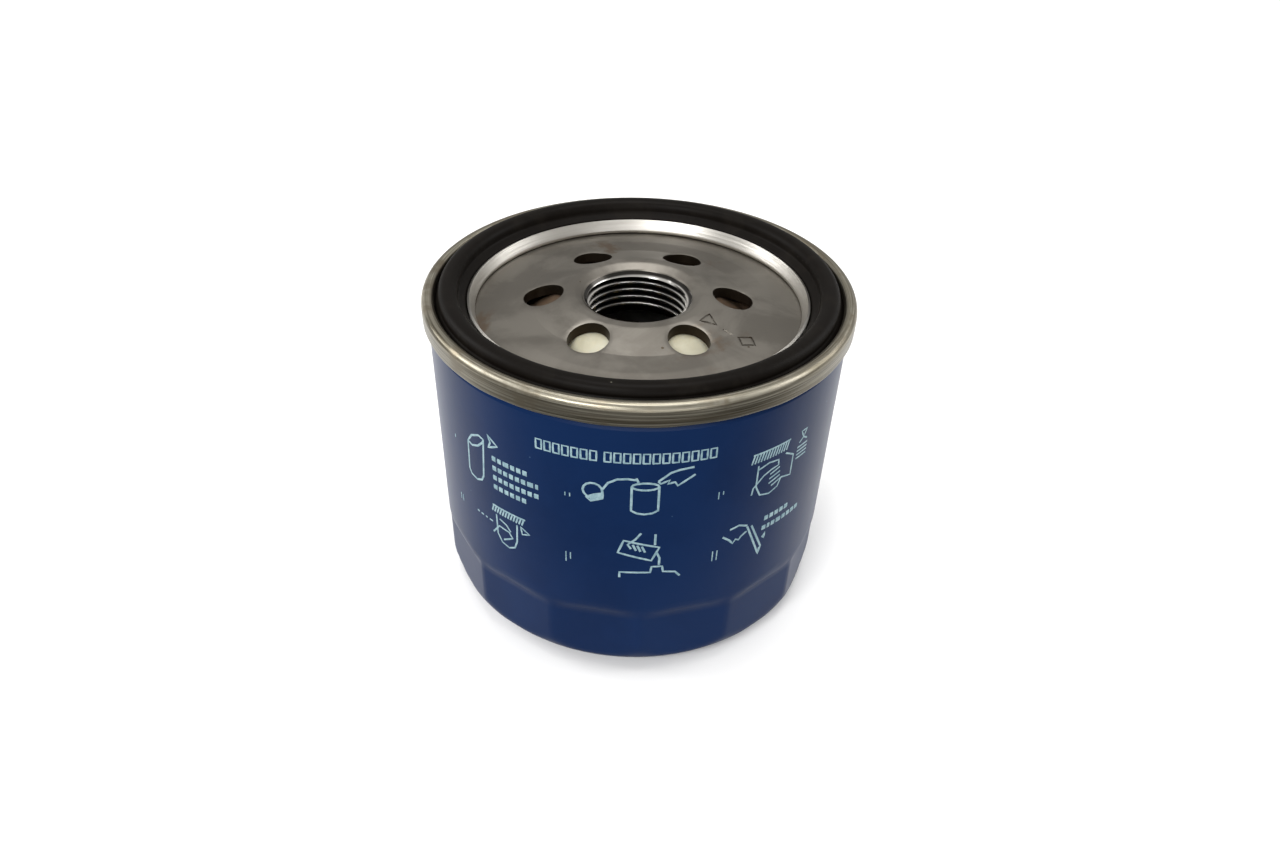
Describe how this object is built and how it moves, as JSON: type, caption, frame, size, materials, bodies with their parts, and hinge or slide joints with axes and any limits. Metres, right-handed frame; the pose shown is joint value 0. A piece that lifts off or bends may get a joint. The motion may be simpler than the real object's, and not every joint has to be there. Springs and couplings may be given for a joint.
{
  "type": "spin-on oil filter",
  "caption": "Short spin-on engine oil filter: fluted can, rolled seam, rubber gasket, threaded base plate with oil inlets, pleated element and valves inside.",
  "frame": {"origin": "centre of the closed end, on the surface the filter stands on", "axes": "+Z along the filter's axis, from the closed end to the threaded mouth; +X through the centre of one oil inlet"},
  "size_m": [0.08, 0.08, 0.065],
  "materials": {
    "blue_paint": "gloss",
    "bare_steel": "satin, lightly tarnished",
    "bright_steel": "satin",
    "black_rubber": "matte",
    "cream_silicone": "satin",
    "filter_paper": "matte",
    "cap_glue": "matte",
    "seam_sealant": "matte"
  },
  "bodies": {
    "filter": {"can_shell": "blue_paint", "base_plate": "bare_steel", "seaming_lid": "bright_steel", "seam_compound": "seam_sealant", "gasket": "black_rubber", "anti_drain_sleeve": "cream_silicone", "top_end_cap": "bright_steel", "bottom_end_cap": "bright_steel", "top_adhesive": "cap_glue", "bottom_adhesive": "cap_glue", "pleated_media": "filter_paper", "media_seam_clip": "bright_steel", "center_tube": "bright_steel", "bypass_seat": "bright_steel", "bypass_cage": "bright_steel", "bypass_spring": "bright_steel", "support_spring": "bare_steel"},
    "anti_drain_lip": {"anti_drain_lip": "cream_silicone"},
    "bypass_valve": {"bypass_disc": "bright_steel", "bypass_seal": "black_rubber", "bypass_stem": "bright_steel"}
  },
  "joints": [
    {"name": "bypass_opening", "type": "slide", "parent": "filter", "child": "bypass_valve", "axis": [0, 0, 1], "range_m": [0, 0.003], "stiffness_N_per_m": 2000, "springref_m": -0.006, "deforming": ["bypass_spring"]},
    {"name": "anti_drain_opening", "type": "slide", "parent": "filter", "child": "anti_drain_lip", "axis": [0, 0, -1], "range_m": [0, 0.0015], "stiffness_N_per_m": 150, "springref_m": -0.001}
  ]
}
